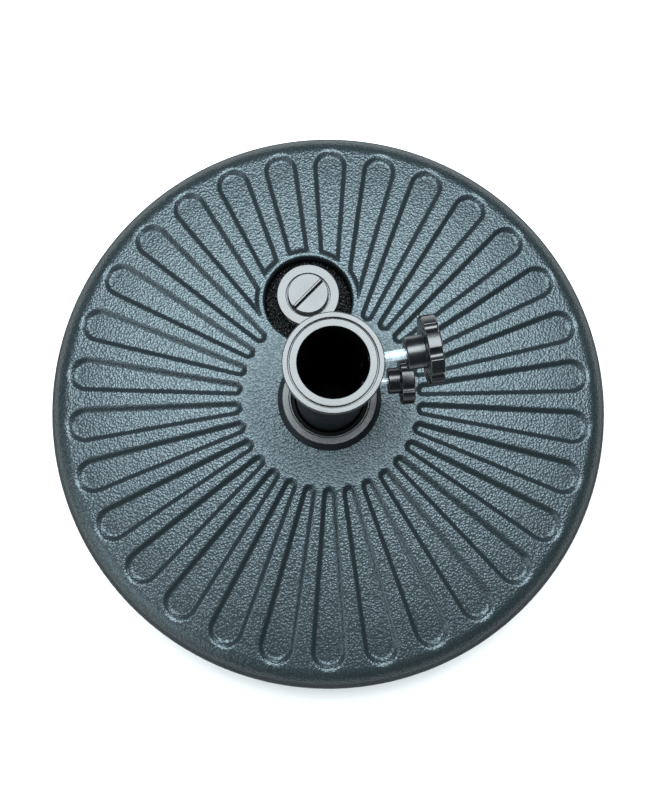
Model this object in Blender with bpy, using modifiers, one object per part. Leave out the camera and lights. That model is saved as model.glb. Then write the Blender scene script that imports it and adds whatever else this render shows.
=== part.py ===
"""A fillable parasol base: a hollow fluted tank, a filler with a screw plug, and a pole tube with two
clamp screws. Metres, +Z up. The origin is on the ground, under the middle of the pole tube."""

import math

import bmesh
import bpy
from mathutils import Matrix, Vector

# Fits
GAP = 0.0003  # between pieces that touch
SCREW_CLEARANCE = 0.0004  # between a thread's crest and the hole round it

# Tank: a flat-bottomed drum with a shoulder and a gently sloping top
TANK_RADIUS = 0.250
TANK_WALL = 0.003
PARTING_HEIGHT = 0.092
SHOULDER_WIDTH = 0.021
SHOULDER_DROP = 0.030
SKIRT_FOOT_RADIUS = 0.243
FOOT_ROUNDING = 0.010
FOOT_INNER_RADIUS = 0.150
RECESS_RADIUS = 0.142
RECESS_HEIGHT = 0.010
HUB_HEIGHT = 0.134
DOME_SLOPE = 0.08
WELL_RADIUS = 0.0331
WELL_FLOOR = 0.016

# Flutes: sunk, tapered, round at both ends
FLUTE_COUNT = 30
FLUTE_INNER_REACH = 0.078
FLUTE_OUTER_REACH = 0.228
FLUTE_INNER_HALF_WIDTH = 0.0040
FLUTE_OUTER_HALF_WIDTH = 0.0141
FLUTE_DEPTH = 0.0035
FLUTE_WALL_RUN = 0.0032
FLUTE_BACK_INNER = 0.102
FLUTE_BACK_OUTER = 0.231
THICK_TOP = 0.0072  # wall from the hub out to where the flutes are far enough apart
THICK_TOP_RADIUS = 0.106

# Filler: a pocket in the tank's top with a neck standing in it
FILLER_DISTANCE = 0.091
FILLER_AZIMUTH = math.radians(102)
POCKET_RADIUS = 0.039
POCKET_FLOOR = 0.112
BORDER_RADIUS = 0.0455
NECK_RADIUS = 0.0215
NECK_COLLAR_RADIUS = 0.0240
NECK_COLLAR_THICKNESS = 0.0026
NECK_FLANGE_RADIUS = 0.0270
NECK_FLANGE_THICKNESS = 0.0032
NECK_TOP = 0.148
NECK_BOTTOM = 0.100
NECK_BORE = 0.0146
NECK_SEAT_RADIUS = 0.0193
NECK_SEAT_DEPTH = 0.0040
SEAL_THICKNESS = 0.0020
SEAL_OUTER_RADIUS = 0.0180
PLUG_HEAD_RADIUS = 0.0173
PLUG_TOP = 0.154
PLUG_SHANK_RADIUS = NECK_BORE - SCREW_CLEARANCE
PLUG_SHANK_LENGTH = 0.0186
PLUG_HOLLOW_RADIUS = 0.0126
PLUG_SLOT_WIDTH = 0.0034
PLUG_SLOT_DEPTH = 0.0040
PLUG_SLOT_AZIMUTH = math.radians(46)

# Neck ring round the tube's foot
RING_TOP = 0.146
RING_TOP_RADIUS = 0.0405
RING_FOOT_RADIUS = 0.0450
RING_MOUTH_RADIUS = 0.0332
RING_STEP_DEPTH = 0.0045
RING_BORE = 0.0298
RING_LINER_BOTTOM = 0.100
RING_BEVEL = 0.0007

# Pole tube
TUBE_RADIUS = 0.0285
TUBE_BORE = 0.0265
TUBE_TOP = 0.334
TUBE_FLANGE_RADIUS = 0.0340
TUBE_FLANGE_THICKNESS = 0.0065
TUBE_BEAD_RADIUS = 0.0312
TUBE_BEAD_HEIGHT = 0.0020
TUBE_SEAT_RADIUS = 0.0302
TUBE_SEAT_DEPTH = 0.0037

# Sleeve that reduces the tube's bore
SLEEVE_BORE = 0.0240
SLEEVE_FLANGE_RADIUS = 0.0292
SLEEVE_LENGTH = 0.150
SLEEVE_SLOT_WIDTH = 0.0150
SLEEVE_SLOT_TOP = 0.3265

# Foot of the tube and its fixing
FOOT_FLANGE_RADIUS = 0.0328
FOOT_FLANGE_THICKNESS = 0.0034
FOOT_TOP = 0.040
LUG_WIDTH = 0.0060
LUG_HEIGHT = 0.0040
LUG_REACH = 0.0280
LUG_ROOT = 0.0240
LUG_CENTRE = 0.0270
WINDOW_REACH = 0.0310
BOLT_RADIUS = 0.0040
BOLT_HEAD_HEIGHT = 0.0053
BOLT_TIP = 0.0330
BOLT_PROUD = 0.0020  # of the fixing nut
M8_ACROSS_FLATS = 0.013
M8_NUT_HEIGHT = 0.0065
WASHER_RADIUS = 0.0080
WASHER_THICKNESS = 0.0014

# Screw modifier steps: large turned pieces, and small ones
FINE_STEPS = 60
MEDIUM_STEPS = 36
SMALL_STEPS = 24

# A clamp screw: sizes run outwards from the tube's middle along the screw's axis
UPPER_CLAMP = {
    "name": "upper",
    "height": 0.317,
    "azimuth": math.radians(10),
    "thread_radius": 0.0040,
    "across_flats": M8_ACROSS_FLATS,
    "nut_thickness": 0.0040,
    "pad_radius": 0.0050,
    "boss_below": 0.0095,
    "boss_above": 0.0085,
    "hub_start": 0.0495,
    "hub_length": 0.0126,
    "hub_radius": 0.0115,
    "head_thickness": 0.0100,
    "head_radius": 0.0238,
    "scallop_radius": 0.0042,
    "lobes": 8,
    "first_scallop": math.radians(17),
}
LOWER_CLAMP = {
    "name": "lower",
    "height": 0.218,
    "azimuth": math.radians(5),
    "thread_radius": 0.0030,
    "across_flats": 0.010,
    "nut_thickness": 0.0032,
    "pad_radius": 0.0040,
    "boss_below": 0.0085,
    "boss_above": 0.0085,
    "hub_start": 0.0443,
    "hub_length": 0.0092,
    "hub_radius": 0.0102,
    "head_thickness": 0.0105,
    "head_radius": 0.0190,
    "scallop_radius": 0.0036,
    "lobes": 7,
    "first_scallop": math.radians(3),
}
BOSS_FRONT = 0.0342
BOSS_SIDE_WALL = 0.0012
NUT_POCKET_START = 0.0280
PAD_FACE = SLEEVE_BORE
PAD_END_THICKNESS = 0.0013
STUD_CHAMFER = 0.0006
HEAD_BEVEL = 0.0009
SCALLOP_SET_OUT = 0.35  # of the scallop's radius: how far its centre lies outside the head
LOBE_SEGMENTS = 4
SCALLOP_SEGMENTS = 4
STUD_GRIP = 0.0100


def clear_scene():
    for obj in list(bpy.data.objects):
        bpy.data.objects.remove(obj, do_unlink=True)


def new_collection(name):
    collection = bpy.data.collections.new(name)
    bpy.context.scene.collection.children.link(collection)
    return collection


def plastic(name, colour, roughness):
    return finish(name, colour, roughness, 0.0)


def finish(name, colour, roughness, metallic):
    material = bpy.data.materials.new(name)
    material.use_nodes = True
    shader = material.node_tree.nodes["Principled BSDF"]
    shader.inputs["Base Color"].default_value = (*colour, 1.0)
    shader.inputs["Roughness"].default_value = roughness
    shader.inputs["Metallic"].default_value = metallic
    return material


def place(name, mesh, material=None, parent=None):
    """Add a mesh as a part, or as a hidden cutter where it has no material."""
    obj = bpy.data.objects.new(name, mesh)
    obj.parent = parent
    if material is None:
        CUTTERS.objects.link(obj)
        obj.hide_render = True
        obj.display_type = "WIRE"
    else:
        PARTS.objects.link(obj)
        mesh.materials.append(material)
    return obj


def turned(name, profile, steps, material=None, parent=None, closed=False):
    """Turn a profile of (radius, height) points about Z. It runs down its outer side, top to bottom."""
    mesh = bpy.data.meshes.new(name)
    points = [(radius, 0.0, height) for radius, height in profile]
    edges = [(i, i + 1) for i in range(len(points) - 1)]
    if closed:
        edges.append((len(points) - 1, 0))
    mesh.from_pydata(points, edges, [])
    obj = place(name, mesh, material, parent)
    screw = obj.modifiers.new("Turn", "SCREW")
    screw.steps = steps
    screw.render_steps = steps
    screw.merge_threshold = 0.00001
    screw.use_merge_vertices = True
    return obj


def ring(name, outer, inner, bottom, top, steps, material=None, parent=None):
    """A plain tube."""
    profile = [(inner, top), (outer, top), (outer, bottom), (inner, bottom)]
    return turned(name, profile, steps, material, parent, closed=True)


def cylinder(name, radius, bottom, top, steps, material=None, parent=None):
    profile = [(0.0, top), (radius, top), (radius, bottom), (0.0, bottom)]
    return turned(name, profile, steps, material, parent)


def block(name, low, high, material=None, parent=None):
    """A box between two corners."""
    form = bmesh.new()
    bmesh.ops.create_cube(form, size=1.0)
    low, high = Vector(low), Vector(high)
    size = Matrix.Diagonal(high - low).to_4x4()
    bmesh.ops.transform(form, matrix=Matrix.Translation((low + high) / 2) @ size, verts=form.verts)
    return place(name, mesh_of(name, form), material, parent)


def hexagon(name, across_flats, bottom, top, material=None, parent=None):
    """A hexagonal prism with two of its flats facing along X."""
    form = bmesh.new()
    corner_radius = across_flats / math.sqrt(3)
    bmesh.ops.create_cone(
        form,
        cap_ends=True,
        segments=6,
        radius1=corner_radius,
        radius2=corner_radius,
        depth=top - bottom,
    )
    lift = Matrix.Translation((0, 0, (top + bottom) / 2))
    bmesh.ops.transform(form, matrix=lift @ Matrix.Rotation(math.radians(30), 4, "Z"), verts=form.verts)
    return place(name, mesh_of(name, form), material, parent)


def mesh_of(name, form):
    mesh = bpy.data.meshes.new(name)
    form.to_mesh(mesh)
    form.free()
    return mesh


def combine(obj, other, operation):
    boolean = obj.modifiers.new(other.name, "BOOLEAN")
    boolean.operation = operation
    boolean.object = other
    boolean.solver = "EXACT"


def cut(obj, *cutters):
    for cutter in cutters:
        combine(obj, cutter, "DIFFERENCE")


def join(obj, *others):
    for other in others:
        combine(obj, other, "UNION")


def axis_empty(name, location, tilt=0.0, azimuth=0.0):
    """An empty whose Z axis is a joint's axis."""
    empty = bpy.data.objects.new(name, None)
    empty.empty_display_size = 0.02
    empty.location = location
    empty.rotation_euler = (0.0, tilt, azimuth)
    PARTS.objects.link(empty)
    return empty


def top_height(radius):
    """The tank's top: flat on the hub, and sloping down outside it."""
    return HUB_HEIGHT - DOME_SLOPE * max(0.0, radius - FLUTE_INNER_REACH)


def shoulder(radius, drop, width, top, segments):
    """Quarter of an ellipse, from the top's edge down to the widest line."""
    start = radius - width
    angles = [math.pi / 2 * i / segments for i in range(segments + 1)]
    return [(start + width * math.sin(a), top - drop * (1 - math.cos(a))) for a in angles]


def foot_round(radius, rounding, segments):
    centre = radius - rounding
    angles = [math.pi / 2 * i / segments for i in range(segments + 1)]
    return [(centre + rounding * math.cos(a), rounding * (1 - math.sin(a))) for a in angles]


def tank_outline():
    """The tank's outside, from the middle of the well's floor round to the middle of its underside."""
    top_edge = PARTING_HEIGHT + SHOULDER_DROP
    outline = [(0.0, WELL_FLOOR), (WELL_RADIUS, WELL_FLOOR), (WELL_RADIUS, HUB_HEIGHT)]
    outline.append((FLUTE_INNER_REACH, HUB_HEIGHT))
    outline += shoulder(TANK_RADIUS, SHOULDER_DROP, SHOULDER_WIDTH, top_edge, 5)
    outline += foot_round(SKIRT_FOOT_RADIUS, FOOT_ROUNDING, 3)
    outline += [(FOOT_INNER_RADIUS, 0.0), (RECESS_RADIUS, RECESS_HEIGHT), (0.0, RECESS_HEIGHT)]
    return outline


def cavity_outline():
    """The tank's inside, a ring round the well, one wall in from the outside."""
    wall = TANK_WALL
    well = WELL_RADIUS + wall
    thin_top_radius = THICK_TOP_RADIUS + wall
    edge = PARTING_HEIGHT + SHOULDER_DROP - wall
    outline = [
        (well, HUB_HEIGHT - THICK_TOP),
        (FLUTE_INNER_REACH, HUB_HEIGHT - THICK_TOP),
        (THICK_TOP_RADIUS, top_height(THICK_TOP_RADIUS) - THICK_TOP),
        (thin_top_radius, top_height(thin_top_radius) - wall),
    ]
    outline += shoulder(TANK_RADIUS - wall, SHOULDER_DROP - wall, SHOULDER_WIDTH - wall, edge, 3)
    inner_foot = foot_round(SKIRT_FOOT_RADIUS - wall, FOOT_ROUNDING - wall, 2)
    outline += [(radius, height + wall) for radius, height in inner_foot]
    step_slope = math.atan2(RECESS_HEIGHT, FOOT_INNER_RADIUS - RECESS_RADIUS)
    step_shift = wall * math.tan(step_slope / 2)
    outline += [
        (FOOT_INNER_RADIUS + step_shift, wall),
        (RECESS_RADIUS + step_shift, RECESS_HEIGHT + wall),
        (well, RECESS_HEIGHT + wall),
    ]
    return outline


def flute_half_width(reach):
    share = (reach - FLUTE_INNER_REACH) / (FLUTE_OUTER_REACH - FLUTE_INNER_REACH)
    return FLUTE_INNER_HALF_WIDTH + share * (FLUTE_OUTER_HALF_WIDTH - FLUTE_INNER_HALF_WIDTH)


def flute_outline(offset):
    """One flute's outline along X, moved outwards by offset."""
    inner_round = FLUTE_INNER_HALF_WIDTH
    outer_centre = FLUTE_OUTER_REACH - FLUTE_OUTER_HALF_WIDTH
    outer_round = flute_half_width(outer_centre)
    ends = (
        (FLUTE_INNER_REACH + inner_round, inner_round, math.pi / 2, 4),
        (outer_centre, outer_round, -math.pi / 2, 7),
    )
    points = []
    for centre, rounding, start, segments in ends:
        for i in range(segments + 1):
            angle = start + math.pi * i / segments
            reach = rounding + offset
            points.append((centre + reach * math.cos(angle), reach * math.sin(angle)))
    return points


def radial_solids(name, floor_outline, floor_lift, rim_outline, rim_lift):
    """A solid along each flute's line, between two outlines at given heights from the tank's top."""
    form = bmesh.new()
    for index in range(FLUTE_COUNT):
        turn = Matrix.Rotation(math.radians(90) + math.tau * index / FLUTE_COUNT, 3, "Z")
        floor, rim = [], []
        for loop, outline, lift in ((floor, floor_outline, floor_lift), (rim, rim_outline, rim_lift)):
            for x, y in outline:
                height = HUB_HEIGHT - DOME_SLOPE * (x - FLUTE_INNER_REACH) + lift
                loop.append(form.verts.new(turn @ Vector((x, y, height))))
        form.faces.new(reversed(floor))
        form.faces.new(rim)
        for i, start in enumerate(floor):
            end = (i + 1) % len(floor)
            form.faces.new((start, floor[end], rim[end], rim[i]))
    return place(name, mesh_of(name, form))


def flute_cutters():
    """All the flutes as one cutter: sloping walls round a floor that is parallel to the tank's top."""
    above = FLUTE_DEPTH / 2
    half_run = FLUTE_WALL_RUN / 2
    rim = flute_outline(half_run + FLUTE_WALL_RUN * above / FLUTE_DEPTH)
    return radial_solids("flute_cutters", flute_outline(-half_run), -FLUTE_DEPTH, rim, above)


def flute_backs():
    """Blocks that keep the wall behind each flute's floor."""
    inner = flute_half_width(FLUTE_BACK_INNER) + TANK_WALL
    outer = flute_half_width(FLUTE_BACK_OUTER) + TANK_WALL
    outline = (
        (FLUTE_BACK_INNER, -inner),
        (FLUTE_BACK_OUTER, -outer),
        (FLUTE_BACK_OUTER, outer),
        (FLUTE_BACK_INNER, inner),
    )
    return radial_solids("flute_backs", outline, -FLUTE_DEPTH - TANK_WALL, outline, FLUTE_DEPTH)


def build_tank(filler):
    tank = turned("tank_shell", tank_outline(), FINE_STEPS, GRAINED)
    above = HUB_HEIGHT + FLUTE_DEPTH
    flutes = flute_cutters()
    border = cylinder("filler_border", BORDER_RADIUS, POCKET_FLOOR, 2 * above, MEDIUM_STEPS, parent=filler)
    cut(flutes, border)
    cavity = turned("cavity", cavity_outline(), FINE_STEPS, closed=True)
    pocket_skin = cylinder(
        "pocket_skin",
        POCKET_RADIUS + TANK_WALL,
        POCKET_FLOOR - TANK_WALL,
        above,
        MEDIUM_STEPS,
        parent=filler,
    )
    cut(cavity, flute_backs(), pocket_skin)
    pocket = cylinder("pocket", POCKET_RADIUS, POCKET_FLOOR, above, MEDIUM_STEPS, parent=filler)
    neck_hole = cylinder(
        "neck_hole", NECK_RADIUS + GAP, POCKET_FLOOR - 2 * TANK_WALL, POCKET_FLOOR + TANK_WALL, SMALL_STEPS,
        parent=filler,
    )
    bolt_hole = cylinder("bolt_hole", BOLT_RADIUS + SCREW_CLEARANCE, 0.0, 2 * WELL_FLOOR, SMALL_STEPS)
    cut(tank, flutes, pocket, cavity, neck_hole, bolt_hole)


def build_filler(filler):
    """The neck is moulded into the pocket's floor, which two collars hold between them."""
    floor_top = POCKET_FLOOR + GAP
    floor_bottom = POCKET_FLOOR - TANK_WALL - GAP
    seat = NECK_TOP - NECK_SEAT_DEPTH
    flange_bottom = NECK_TOP - NECK_FLANGE_THICKNESS
    profile = [
        (NECK_BORE, seat),
        (NECK_SEAT_RADIUS, seat),
        (NECK_SEAT_RADIUS, NECK_TOP),
        (NECK_FLANGE_RADIUS, NECK_TOP),
        (NECK_FLANGE_RADIUS, flange_bottom),
        (NECK_RADIUS, flange_bottom),
        (NECK_RADIUS, floor_top + NECK_COLLAR_THICKNESS),
        (NECK_COLLAR_RADIUS, floor_top + NECK_COLLAR_THICKNESS),
        (NECK_COLLAR_RADIUS, floor_top),
        (NECK_RADIUS, floor_top),
        (NECK_RADIUS, floor_bottom),
        (NECK_COLLAR_RADIUS, floor_bottom),
        (NECK_COLLAR_RADIUS, floor_bottom - NECK_COLLAR_THICKNESS),
        (NECK_RADIUS, floor_bottom - NECK_COLLAR_THICKNESS),
        (NECK_RADIUS, NECK_BOTTOM),
        (NECK_BORE, NECK_BOTTOM),
    ]
    turned("filler_neck", profile, MEDIUM_STEPS, SMOOTH, filler, closed=True)

    seal_bottom = seat + GAP
    seal_top = seal_bottom + SEAL_THICKNESS
    ring("plug_seal", SEAL_OUTER_RADIUS, NECK_BORE, seal_bottom, seal_top, MEDIUM_STEPS, RUBBER, filler)

    head_bottom = seal_top + GAP
    shank_bottom = head_bottom - PLUG_SHANK_LENGTH
    plug_profile = [
        (0.0, PLUG_TOP),
        (PLUG_HEAD_RADIUS, PLUG_TOP),
        (PLUG_HEAD_RADIUS, head_bottom),
        (PLUG_SHANK_RADIUS, head_bottom),
        (PLUG_SHANK_RADIUS, shank_bottom),
        (PLUG_HOLLOW_RADIUS, shank_bottom),
        (PLUG_HOLLOW_RADIUS, head_bottom),
        (0.0, head_bottom),
    ]
    plug = turned("fill_plug", plug_profile, MEDIUM_STEPS, PLUG, filler)
    half = PLUG_SLOT_WIDTH / 2
    reach = 2 * PLUG_HEAD_RADIUS
    slot_floor = PLUG_TOP - PLUG_SLOT_DEPTH
    slot = block("plug_slot", (-reach, -half, slot_floor), (reach, half, PLUG_TOP + half), parent=filler)
    slot.rotation_euler = (0.0, 0.0, PLUG_SLOT_AZIMUTH)
    cut(plug, slot)


def build_neck_ring():
    """A collar that sits on the hub, with a liner down the well round the tube."""
    liner_radius = WELL_RADIUS - GAP
    step = RING_TOP - RING_STEP_DEPTH
    seat = HUB_HEIGHT + GAP
    profile = [
        (RING_MOUTH_RADIUS, RING_TOP - RING_BEVEL),
        (RING_MOUTH_RADIUS + RING_BEVEL, RING_TOP),
        (RING_TOP_RADIUS - RING_BEVEL, RING_TOP),
        (RING_TOP_RADIUS, RING_TOP - RING_BEVEL),
        (RING_FOOT_RADIUS, seat),
        (liner_radius, seat),
        (liner_radius, RING_LINER_BOTTOM),
        (RING_BORE, RING_LINER_BOTTOM),
        (RING_BORE, step),
        (RING_MOUTH_RADIUS, step),
    ]
    turned("neck_ring", profile, FINE_STEPS, SMOOTH, closed=True)


def clamp_empty(clamp):
    """An empty on the screw's axis, with its Z axis pointing outwards."""
    location = (0.0, 0.0, clamp["height"])
    return axis_empty(clamp["name"] + "_screw_axis", location, math.pi / 2, clamp["azimuth"])


def nut_boss(clamp, axis):
    """The boss, and the cutters for its nut trap and for the pad's hole. Local X points down."""
    name = clamp["name"]
    half_width = clamp["across_flats"] / 2 + GAP + BOSS_SIDE_WALL
    boss = block(
        name + "_boss",
        (-clamp["boss_above"], -half_width, (TUBE_BORE + TUBE_RADIUS) / 2),
        (clamp["boss_below"], half_width, BOSS_FRONT),
        parent=axis,
    )
    half_nut = clamp["across_flats"] / 2 + GAP
    nut_start = NUT_POCKET_START + GAP
    nut_end = nut_start + clamp["nut_thickness"] + GAP
    trap = block(
        name + "_nut_trap",
        (-clamp["across_flats"] / math.sqrt(3) - GAP, -half_nut, NUT_POCKET_START),
        (2 * clamp["boss_below"], half_nut, nut_end),
        parent=axis,
    )
    pad_hole_radius = clamp["pad_radius"] + SCREW_CLEARANCE
    pad_hole_end = NUT_POCKET_START + GAP
    pad_hole = cylinder(
        name + "_pad_hole", pad_hole_radius, PAD_FACE, pad_hole_end, SMALL_STEPS, parent=axis
    )
    stud_hole_radius = clamp["thread_radius"] + SCREW_CLEARANCE
    stud_hole_end = 2 * BOSS_FRONT
    stud_hole = cylinder(
        name + "_stud_hole", stud_hole_radius, PAD_FACE, stud_hole_end, SMALL_STEPS, parent=axis
    )
    return boss, (trap, pad_hole, stud_hole)


def lug_box(name, side, reach, clearance):
    """A snap lug of the tube's foot, or with clearance the window that takes it."""
    half = LUG_WIDTH / 2 + clearance
    rise = LUG_HEIGHT / 2 + clearance
    back, front = sorted((side * LUG_ROOT, side * reach))
    return block(name, (-half, back, LUG_CENTRE - rise), (half, front, LUG_CENTRE + rise))


def build_tube(axes):
    flange_bottom = TUBE_TOP - TUBE_FLANGE_THICKNESS
    bead_bottom = flange_bottom - TUBE_BEAD_HEIGHT
    tube_bottom = WELL_FLOOR + GAP + FOOT_FLANGE_THICKNESS + GAP
    seat = TUBE_TOP - TUBE_SEAT_DEPTH
    profile = [
        (TUBE_BORE, seat),
        (TUBE_SEAT_RADIUS, seat),
        (TUBE_SEAT_RADIUS, TUBE_TOP),
        (TUBE_FLANGE_RADIUS, TUBE_TOP),
        (TUBE_FLANGE_RADIUS, flange_bottom),
        (TUBE_BEAD_RADIUS, flange_bottom),
        (TUBE_BEAD_RADIUS, bead_bottom),
        (TUBE_RADIUS, bead_bottom),
        (TUBE_RADIUS, tube_bottom),
        (TUBE_BORE, tube_bottom),
    ]
    tube = turned("pole_tube", profile, FINE_STEPS, TUBE, closed=True)
    for clamp, axis in zip((UPPER_CLAMP, LOWER_CLAMP), axes):
        boss, holes = nut_boss(clamp, axis)
        join(tube, boss)
        cut(tube, *holes)
    for side, name in ((1, "back_window"), (-1, "front_window")):
        cut(tube, lug_box(name, side, WINDOW_REACH, GAP))


def build_sleeve():
    """It hangs by its flange. A slot from its lower end lets it pass the clamp screws' pads."""
    barrel = TUBE_BORE - GAP
    seat = TUBE_TOP - TUBE_SEAT_DEPTH + GAP
    bottom = TUBE_TOP - SLEEVE_LENGTH
    profile = [
        (SLEEVE_BORE, TUBE_TOP),
        (SLEEVE_FLANGE_RADIUS, TUBE_TOP),
        (SLEEVE_FLANGE_RADIUS, seat),
        (barrel, seat),
        (barrel, bottom),
        (SLEEVE_BORE, bottom),
    ]
    axis = axis_empty("sleeve_axis", (0, 0, 0))
    sleeve = turned("pole_sleeve", profile, FINE_STEPS, TUBE, axis, closed=True)
    half = SLEEVE_SLOT_WIDTH / 2
    slot = block("sleeve_slot", (0.0, -half, 0.0), (2 * barrel, half, SLEEVE_SLOT_TOP))
    slot.rotation_euler = (0.0, 0.0, (UPPER_CLAMP["azimuth"] + LOWER_CLAMP["azimuth"]) / 2)
    cut(sleeve, slot)


def build_foot():
    """The tube's end plug, with a nut moulded into it, and the bolt that holds both down."""
    flange_bottom = WELL_FLOOR + GAP
    flange_top = flange_bottom + FOOT_FLANGE_THICKNESS
    nut_top = BOLT_TIP - BOLT_PROUD
    nut_bottom = nut_top - M8_NUT_HEIGHT
    spigot = TUBE_BORE - GAP
    profile = [
        (0.0, FOOT_TOP),
        (spigot, FOOT_TOP),
        (spigot, flange_top),
        (FOOT_FLANGE_RADIUS, flange_top),
        (FOOT_FLANGE_RADIUS, flange_bottom),
        (0.0, flange_bottom),
    ]
    foot = turned("tube_foot", profile, FINE_STEPS, TUBE)
    for side, name in ((1, "back_lug"), (-1, "front_lug")):
        join(foot, lug_box(name, side, LUG_REACH, 0.0))
    nut_pocket = hexagon("nut_pocket", M8_ACROSS_FLATS + 2 * GAP, nut_bottom - GAP, nut_top + GAP)
    foot_hole = cylinder("foot_hole", BOLT_RADIUS + SCREW_CLEARANCE, 0.0, BOLT_TIP + GAP, SMALL_STEPS)
    cut(foot, nut_pocket, foot_hole)

    nut = hexagon("fixing_nut", M8_ACROSS_FLATS, nut_bottom, nut_top, ZINC)
    cut(nut, cylinder("fixing_nut_hole", BOLT_RADIUS + GAP, 0.0, FOOT_TOP, SMALL_STEPS))

    washer_top = RECESS_HEIGHT - GAP
    washer_bottom = washer_top - WASHER_THICKNESS
    washer_bore = BOLT_RADIUS + SCREW_CLEARANCE
    ring("fixing_washer", WASHER_RADIUS, washer_bore, washer_bottom, washer_top, SMALL_STEPS, ZINC)
    head_top = washer_bottom - GAP
    bolt = hexagon("fixing_bolt", M8_ACROSS_FLATS, head_top - BOLT_HEAD_HEIGHT, head_top, ZINC)
    join(bolt, cylinder("fixing_shank", BOLT_RADIUS, head_top - BOLT_HEAD_HEIGHT / 2, BOLT_TIP, SMALL_STEPS))


def star_mesh(name, clamp, bottom, top):
    """A disc with round scallops that leave the lobes between them."""
    form = bmesh.new()
    radius = clamp["head_radius"]
    scallop = clamp["scallop_radius"]
    scallop_centre = radius + scallop * SCALLOP_SET_OUT
    meet = (scallop_centre**2 + radius**2 - scallop**2) / (2 * scallop_centre)
    half_bite = math.acos(meet / radius)
    outline = []
    pitch = math.tau / clamp["lobes"]
    for lobe in range(clamp["lobes"]):
        start = clamp["first_scallop"] + pitch * lobe
        lobe_from = start + half_bite
        lobe_to = start + pitch - half_bite
        for i in range(LOBE_SEGMENTS + 1):
            angle = lobe_from + (lobe_to - lobe_from) * i / LOBE_SEGMENTS
            outline.append((radius * math.cos(angle), radius * math.sin(angle)))
        middle = start + pitch
        centre = Vector((scallop_centre * math.cos(middle), scallop_centre * math.sin(middle)))
        half_arc = math.acos((scallop_centre - meet) / scallop)
        for i in range(1, SCALLOP_SEGMENTS):
            angle = middle + math.pi + half_arc * (1 - 2 * i / SCALLOP_SEGMENTS)
            outline.append((centre.x + scallop * math.cos(angle), centre.y + scallop * math.sin(angle)))
    face = form.faces.new([form.verts.new((x, y, bottom)) for x, y in outline])
    raised = bmesh.ops.extrude_face_region(form, geom=[face])
    lifted = [item for item in raised["geom"] if isinstance(item, bmesh.types.BMVert)]
    bmesh.ops.translate(form, vec=(0, 0, top - bottom), verts=lifted)
    bmesh.ops.recalc_face_normals(form, faces=form.faces)
    rims = [edge for edge in form.edges if abs(edge.verts[0].co.z - edge.verts[1].co.z) < GAP]
    bmesh.ops.bevel(form, geom=rims, offset=HEAD_BEVEL, segments=1, affect="EDGES")
    return mesh_of(name, form)


def build_clamp(clamp, axis):
    """A nut, a pressure pad and a star knob on its stud, along one axis."""
    name = clamp["name"]
    thread = clamp["thread_radius"]
    nut_start = NUT_POCKET_START + GAP
    nut_end = nut_start + clamp["nut_thickness"]
    nut = hexagon(name + "_nut", clamp["across_flats"], nut_start, nut_end, ZINC, axis)
    cut(nut, cylinder(name + "_nut_hole", thread + GAP, 0.0, BOSS_FRONT, SMALL_STEPS, parent=axis))

    stud_tip = PAD_FACE + PAD_END_THICKNESS + GAP
    pad_profile = [
        (0.0, NUT_POCKET_START),
        (clamp["pad_radius"], NUT_POCKET_START),
        (clamp["pad_radius"], PAD_FACE),
        (0.0, PAD_FACE),
    ]
    pad = turned(name + "_pad", pad_profile, SMALL_STEPS, KNOB, axis)
    socket_floor = stud_tip - GAP
    cut(pad, cylinder(name + "_pad_socket", thread + GAP, socket_floor, BOSS_FRONT, SMALL_STEPS, parent=axis))

    stud_end = clamp["hub_start"] + STUD_GRIP
    stud_profile = [
        (0.0, stud_end),
        (thread, stud_end),
        (thread, stud_tip + STUD_CHAMFER),
        (thread - STUD_CHAMFER, stud_tip),
        (0.0, stud_tip),
    ]
    turned(name + "_stud", stud_profile, SMALL_STEPS, ZINC, axis)

    head_start = clamp["hub_start"] + clamp["hub_length"]
    head_end = head_start + clamp["head_thickness"]
    knob = place(name + "_knob", star_mesh(name + "_knob", clamp, head_start, head_end), KNOB, axis)
    hub_end = head_start + GAP
    hub = cylinder(name + "_hub", clamp["hub_radius"], clamp["hub_start"], hub_end, SMALL_STEPS, parent=axis)
    join(knob, hub)
    cut(knob, cylinder(name + "_knob_hole", thread + GAP, 0.0, stud_end + GAP, SMALL_STEPS, parent=axis))


def settle(obj):
    """Fix the modifiers' result as the object's mesh, with round surfaces shaded smooth."""
    graph = bpy.context.evaluated_depsgraph_get()
    mesh = bpy.data.meshes.new_from_object(obj.evaluated_get(graph))
    obj.modifiers.clear()
    obj.data = mesh
    mesh.shade_smooth()
    mesh.set_sharp_from_angle(angle=math.radians(25))


clear_scene()
PARTS = new_collection("parasol_base")
CUTTERS = new_collection("cutters")
GRAINED = plastic("grained_tank_plastic", (0.045, 0.060, 0.068), 0.55)
SMOOTH = plastic("smooth_black_plastic", (0.020, 0.023, 0.025), 0.30)
PLUG = plastic("plug_plastic", (0.020, 0.023, 0.025), 0.30)
TUBE = plastic("tube_plastic", (0.018, 0.021, 0.023), 0.30)
KNOB = plastic("knob_plastic", (0.018, 0.021, 0.023), 0.35)
RUBBER = plastic("seal_rubber", (0.012, 0.012, 0.012), 0.80)
ZINC = finish("zinc_plated_steel", (0.62, 0.70, 0.74), 0.28, 1.0)

filler_axis = axis_empty(
    "filler_axis",
    (FILLER_DISTANCE * math.cos(FILLER_AZIMUTH), FILLER_DISTANCE * math.sin(FILLER_AZIMUTH), 0.0),
)
clamp_axes = [clamp_empty(UPPER_CLAMP), clamp_empty(LOWER_CLAMP)]
build_tank(filler_axis)
build_filler(filler_axis)
build_neck_ring()
build_tube(clamp_axes)
build_sleeve()
build_foot()
build_clamp(UPPER_CLAMP, clamp_axes[0])
build_clamp(LOWER_CLAMP, clamp_axes[1])
bpy.context.view_layer.update()
for part in PARTS.objects:
    if part.type == "MESH":
        settle(part)
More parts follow.
